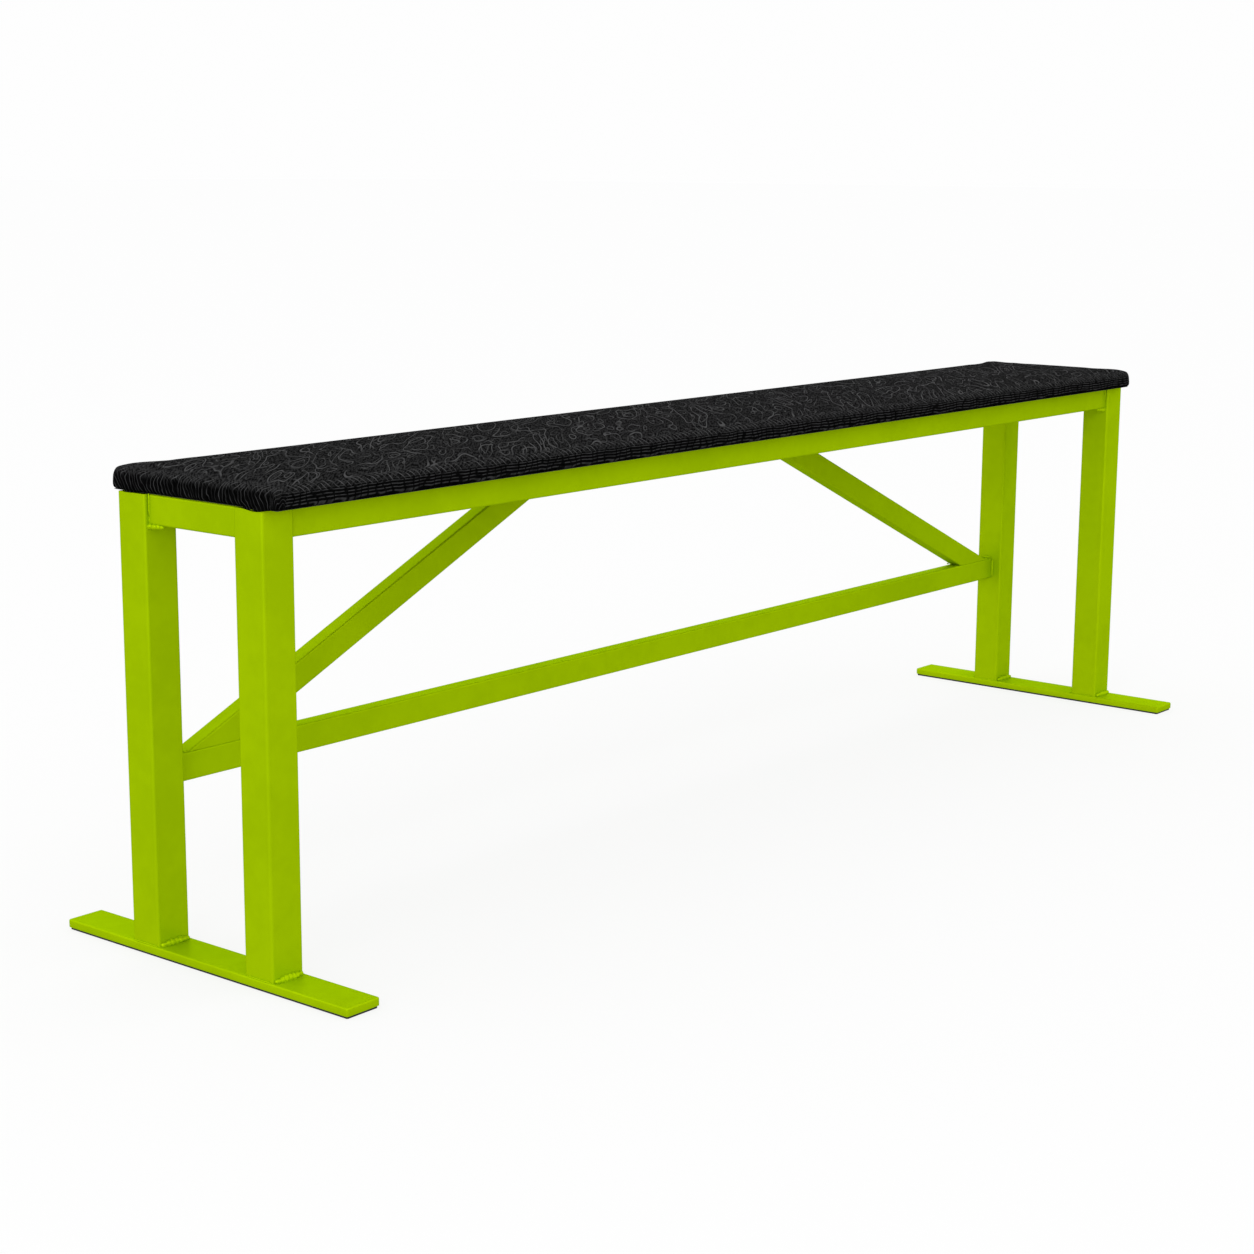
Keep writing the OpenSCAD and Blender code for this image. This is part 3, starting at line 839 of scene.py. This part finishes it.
rail_beads = []
half_open = [("rail_left", 1), ("rail_front", 1)]
for name in ("rail_front", "rail_rear", "rail_left", "rail_right"):
    rail_low, rail_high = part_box(name)
    half = (rail_high.z - rail_low.z) / 2
    middle = (rail_low + rail_high) / 2
    if rail_high.x - rail_low.x > rail_high.y - rail_low.y:
        to_end = Vector((rail_high.x, 0, 0))
        outward = Vector((0, math.copysign(1, middle.y), 0))
    else:
        to_end = Vector((0, rail_high.y, 0))
        outward = Vector((math.copysign(1, middle.x), 0, 0))
    for end in (-1, 1):
        centre = middle + to_end * end
        inward = -to_end.normalized() * end
        sides = [(-outward, half, half), ((0, 0, -1), half, half), (outward, half, half)]
        if (name, end) in half_open:
            sides.pop()
            rail_beads += half_open_joint(centre + outward * half, outward, inward, half)
        rail_beads += beads_round(centre, inward, sides, (0.0040, 0.0058, 0.0018), rail_corner)
finish_piece(melt(rail_beads, "rail_weld_beads"), "green_powder_coat", "rail_welds")

# %% Weld the stretcher to the legs
tube_low, tube_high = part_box("stretcher")
tube_half = (tube_high - tube_low) / 2
tube_middle = (tube_low + tube_high) / 2
sides = [((0, -1, 0), tube_half.y, tube_half.z), ((0, 1, 0), tube_half.y, tube_half.z),
         ((0, 0, -1), tube_half.z, tube_half.y), ((0, 0, 1), tube_half.z, tube_half.y)]
stretcher_beads = []
for end in (-1, 1):
    tube_end = (end * tube_high.x, tube_middle.y, tube_middle.z)
    stretcher_beads += beads_round(tube_end, (-end, 0, 0), sides, (0.0046, 0.0042, 0.0042, 0.0046),
                                   rail_corner)
finish_piece(melt(stretcher_beads, "stretcher_weld_beads"), "green_powder_coat", "stretcher_welds")

# %% [markdown]
# ## Welds at the braces
#
# A brace meets the stretcher below and the rail above at a slant. Its blunt corner
# takes a bead all across. The sharp corner is too tight for the torch from the
# front, so a short bead sits deep in it at the rear, and a dark gap stays open
# before it. Along the front the two tubes are flush and their rounded corners make
# a shallow groove, which an uneven seam fills.

# %% Weld the braces
blunt_bead = 0.0048
sharp_bead = 0.0042
seam_bead = 0.0030
stop_bead = 0.0046
seam_stretches = ((0.04, 0.22), (0.27, 0.52), (0.56, 0.80), (0.86, 0.97))
brace_beads = []
for part, side in (("brace_left", -1), ("brace_right", 1)):
    brace_low, brace_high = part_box(part)
    points = [v.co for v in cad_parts[part].data.vertices]
    foot_xs = [side * p.x for p in points if abs(p.z - brace_low.z) < 1e-4]
    head_xs = [side * p.x for p in points if abs(p.z - brace_high.z) < 1e-4]
    rise = brace_high.z - brace_low.z
    slope = math.atan2(rise, min(foot_xs) - min(head_xs))
    front_y = brace_low.y + rail_corner
    back_y = brace_high.y - rail_corner
    downhill = Vector((side * math.cos(slope), 0, -math.sin(slope)))
    foot_from, toe = side * min(foot_xs), side * max(foot_xs)
    heel, head_to = side * min(head_xs), side * max(head_xs)
    seams = []
    # The blunt corners: by the leg on the stretcher, and towards the middle under the rail
    for corner_x, corner_z, way in ((toe, brace_low.z, 1), (heel, brace_high.z, -1)):
        seams.append(((corner_x, front_y, corner_z), (corner_x, back_y, corner_z),
                      (side * way, 0, 0.15 * way), downhill * -way, blunt_bead))
    # The sharp corners, filled only at the rear
    for corner_x, corner_z, inward in ((foot_from, brace_low.z, -1), (head_to, brace_high.z, 1)):
        deep = Vector((corner_x + inward * side * 0.0095, back_y, corner_z - inward * 0.0018))
        seams.append((deep - Vector((0, 0.006, 0)), deep, (inward * side, 0, 0), (0, 0, -inward), sharp_bead))
    # The flush seam along the front of the stretcher, with a stop next to the leg
    seam_y = brace_low.y + 0.0014
    for stretch in seam_stretches:
        ends = [(foot_from + part_way * (toe - foot_from), seam_y, brace_low.z) for part_way in stretch]
        seams.append((*ends, (0, 1, 0), (0, 0, 1), seam_bead))
    stop = Vector((toe, brace_low.y + 0.0018, brace_low.z - 0.0005))
    seams.append((stop, stop + Vector((side * 0.004, 0, 0)), (0, 1, 0), (0, 0, 1), stop_bead))
    # In front of the upper end, where the rail is deeper than the brace
    ends = [(x, brace_low.y, brace_high.z) for x in (heel + side * 0.004, head_to - side * 0.004)]
    seams.append((*ends, (0, -1, 0), (0, 0, -1), sharp_bead))
    brace_beads += [lay_bead(*seam) for seam in seams]
print("brace slope", round(math.degrees(slope), 1), "degrees")
finish_piece(melt(brace_beads, "brace_weld_beads"), "green_powder_coat", "brace_welds")

# %% Weld the straps
strap_beads = []
for number in range(1, 5):
    strap_low, strap_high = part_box(f"seat_strap_{number}")
    for row in (-1, 1):
        edge_y = row * strap_high.y
        ends = [(x, edge_y, strap_low.z) for x in (strap_low.x + 0.001, strap_high.x - 0.001)]
        strap_beads.append(lay_bead(*ends, (0, -row, 0), (0, 0, -1), 0.0042))
finish_piece(melt(strap_beads, "strap_weld_beads"), "green_powder_coat", "strap_welds")

# %% [markdown]
# ## The pad's shape
#
# The seat is a thin slab of foam on a plywood board, with the cloth pulled over it
# and stapled underneath. Its plan has rounded corners, the upper edge is soft and
# the lower edge is tighter. The start is a block, a little smaller than the
# finished pad, with its upright edges rounded for the plan and then its two rims.
# A voxel remesh turns it into even small faces that can behave as cloth.

# %% Model the slab
swell = 0.0016
plan_corner = 0.016
slab_low = cover_low + Vector((swell, swell, 0))
slab_high = cover_high - Vector((swell, swell, swell * 0.5))
slab = add_block("seat_pad", slab_low, slab_high)
plan_corners = bevel_edges(slab, upright, plan_corner - swell, 8)
bevel_edges(slab, level_at(slab_high.z), 0.0110, 5)
bevel_edges(slab, level_at(slab_low.z), 0.0070, 4)
apply_modifier(slab, "REMESH", "even_faces", mode="VOXEL", voxel_size=0.006)
print("slab with", plan_corners, "rounded corners and", len(slab.data.vertices), "points")

# %% [markdown]
# ## Pulling the cloth tight
#
# Blender's cloth does what the upholsterer does. The underside is pinned, hardest
# at the staples, and a light pressure from within stands for the squeezed foam. So
# the cover swells between its staples and draws in at them. No point may move more
# than a few millimetres, which keeps the pad on its measured size.

# %% Run the cloth
staple_gap = 0.050
most_move = 0.0028
pinned_height = 0.010
hem = 0.03
held_between = 0.45


def pull_tight(pad):
    """Swell the pad as cloth, with its stapled underside held."""
    rest = [v.co.copy() for v in pad.data.vertices]
    pins = pad.vertex_groups.new(name="pins")
    for index, point in enumerate(rest):
        rise = (point.z - cover_low.z) / pinned_height
        if rise < 1:
            run = point.x if abs(point.y) > half_depth - hem else point.y
            at_staple = 0.5 + 0.5 * math.cos(2 * math.pi * run / staple_gap)
            hold = held_between + (1 - held_between) * at_staple
            pins.add([index], clamped((1 - rise) * hold), "REPLACE")
    select_only(pad)
    cover = pad.modifiers.new("cover", "CLOTH")
    cover.settings.vertex_group_mass = "pins"
    cover.settings.use_pressure = True
    cover.settings.uniform_pressure_force = 4
    cover.settings.quality = 4
    cover.settings.tension_stiffness = 20
    cover.settings.compression_stiffness = 20
    cover.settings.bending_stiffness = 2
    cover.settings.effector_weights.gravity = 0
    cover.collision_settings.use_collision = False
    for frame_number in range(1, 21):
        bpy.context.scene.frame_set(frame_number)
    bpy.ops.object.modifier_apply(modifier="cover")
    bpy.context.scene.frame_set(1)
    moves = []
    for vertex, start in zip(pad.data.vertices, rest):
        move = vertex.co - start
        moves.append(move.length)
        if move.length > most_move:
            move *= most_move / move.length
        vertex.co = start + move
    pad.vertex_groups.clear()
    return max(moves)


print("the cover moved up to", round(pull_tight(slab) * 1000, 1), "mm before it was held to its size")
apply_modifier(slab, "SUBSURF", "soft", levels=1, render_levels=1)
print("pad with", len(slab.data.polygons), "faces")

# %% [markdown]
# ## Shaping the pad
#
# Two things are left that only hands make. The cloth waves gently along its lower
# edge, and near the corners it is gathered and hangs a little lower, most of all
# beside the front left leg, while the front edge next to it is drawn up. Outside
# the legs it may hang below the frame's top. Points over a leg are moved out past
# it, and points over the frame are put back on it, where the cloth lies flat. The
# top gets a slight crown across its depth.

# %% Sag the lower edge and gather the corners
leg_outer_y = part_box("leg_rear_left")[1].y
leg_outer_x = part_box("leg_rear_right")[1].x
gathers = [
    # Side, place along that side's rim, how far it hangs, half width
    ("end", -1, -0.120, 0.0036, 0.022),
    ("end", -1, 0.112, 0.0016, 0.020),
    ("end", 1, -0.110, 0.0016, 0.020),
    ("end", 1, 0.108, 0.0020, 0.022),
    ("long", -1, 1.040, 0.0008, 0.060),
    ("long", 1, -1.040, 0.0010, 0.040),
    ("long", 1, 1.044, 0.0012, 0.040),
]
wave_depth = 0.0006
most_drawn_up = 0.0036
crown = 0.0008
clear_of_leg = 0.0008
lowest = cover_low.z
for vertex in slab.data.vertices:
    p = vertex.co
    # How much a point belongs to the lower rim, to the cloth outside the legs' long and
    # end faces, to the front lip outside the board, and to the lip's drawn up stretch
    lower = clamped(1 - (p.z - cover_low.z) / 0.018)
    over_long = clamped((abs(p.y) - leg_outer_y - 0.001) / 0.008)
    over_end = clamped((abs(p.x) - leg_outer_x + 0.0105) / 0.0025)
    lip = clamped((-p.y - half_depth + 0.0085) / 0.006)
    drawn_up = clamped(0.35 - p.x) * clamped((p.x + 1.045) / 0.05)
    wave = noise.noise(Vector((p.x * 14, p.y * 6, 3.1))) + 0.6 * noise.noise(Vector((p.x * 41, p.y * 9, 7.7)))
    sag = wave_depth * wave * over_long - most_drawn_up * lip * drawn_up
    for rim, side, place, hang, spread in gathers:
        if rim == "end" and p.x * side > 0:
            sag += hang * over_end * math.exp(-((p.y - place) / spread) ** 2)
        if rim == "long" and p.y * side > 0:
            sag += hang * over_long * math.exp(-((p.x - place) / spread) ** 2)
    p.z -= sag * lower
    if p.z < cover_low.z and over_long <= 0:
        if over_end > 0.3:
            p.x = math.copysign(max(abs(p.x), leg_outer_x + clear_of_leg), p.x)
        else:
            p.z = cover_low.z
    upper = max(0.0, (p.z - cover_low.z) / (cover_high.z - cover_low.z) - 0.5) * 2
    p.z += crown * upper * (1 - (p.y / half_depth) ** 2)
    lowest = min(lowest, p.z)
print("the cloth hangs", round((cover_low.z - lowest) * 1000, 1), "mm below the board at its lowest")

# %% [markdown]
# ## Unrolling the cloth
#
# The pattern needs a map of metres along the cloth. On top it is just x and y. Past
# the edge, the drop down the side is added in the direction that the side faces,
# as if the side were unrolled flat. At a rounded corner that direction turns with
# the corner.

# %% Map the cloth
unrolled = []
fold = cover_high.z - 0.0008
for vertex in slab.data.vertices:
    x, y, z = vertex.co
    drop = max(0.0, fold - z)
    past_x = max(0.0, abs(x) - (half_length - plan_corner))
    past_y = max(0.0, abs(y) - (half_depth - plan_corner))
    reach = math.hypot(past_x, past_y)
    if reach > 1e-6:
        x += math.copysign(past_x / reach, x) * drop
        y += math.copysign(past_y / reach, y) * drop
    unrolled.append((x, y))
cloth_map = slab.data.uv_layers.new(name="cloth")
for corner in slab.data.loops:
    cloth_map.data[corner.index].uv = unrolled[corner.vertex_index]
select_only(slab)
bpy.ops.object.shade_smooth()
finish_piece(slab, "seat_fabric", "seat_cover", "seat_foam")
print("cloth map", round(max(u[0] for u in unrolled) - min(u[0] for u in unrolled), 3), "m long")

# %% [markdown]
# ## The dust cloth
#
# A thin black cloth closes the seat's underside. It is stretched and stapled round
# its rim, so it only sags a millimetre or two in the open bays between the straps,
# and lies flat wherever it meets steel. A grid of small faces is moved down in the
# bays and given its thickness.

# %% Stretch the dust cloth
dust_low, dust_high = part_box("dust_cloth")
select_only()
bpy.ops.mesh.primitive_grid_add(x_subdivisions=240, y_subdivisions=40, size=1)
dust = bpy.context.object
dust.name = "dust_sheet"
dust.data.name = "dust_sheet"
dust_size = dust_high - dust_low
dust.data.transform(Matrix.Diagonal((dust_size.x, dust_size.y, 1, 1)))
dust.data.transform(Matrix.Translation((dust_low + dust_high) / 2))
strap_xs = [sum(end.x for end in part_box(f"seat_strap_{number}")) / 2 for number in range(1, 5)]
near_strap = 0.021
free_after = 0.045
most_sag = 0.0030
bay_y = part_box("seat_strap_1")[1].y
bay_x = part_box("rail_right")[0].x
for vertex in dust.data.vertices:
    p = vertex.co
    to_steel = min([bay_y - abs(p.y), bay_x - abs(p.x)] + [abs(p.x - x) - near_strap for x in strap_xs])
    free = clamped(to_steel / free_after)
    ripple = 0.5 + 0.5 * noise.noise(Vector((p.x * 9, p.y * 16, 1.4)))
    p.z -= most_sag * free * free * (3 - 2 * free) * ripple
apply_modifier(dust, "SOLIDIFY", "cloth_thickness", thickness=0.0004, offset=0)
smooth_under(dust, 40)
finish_piece(dust, "dust_cloth", "dust_cloth")
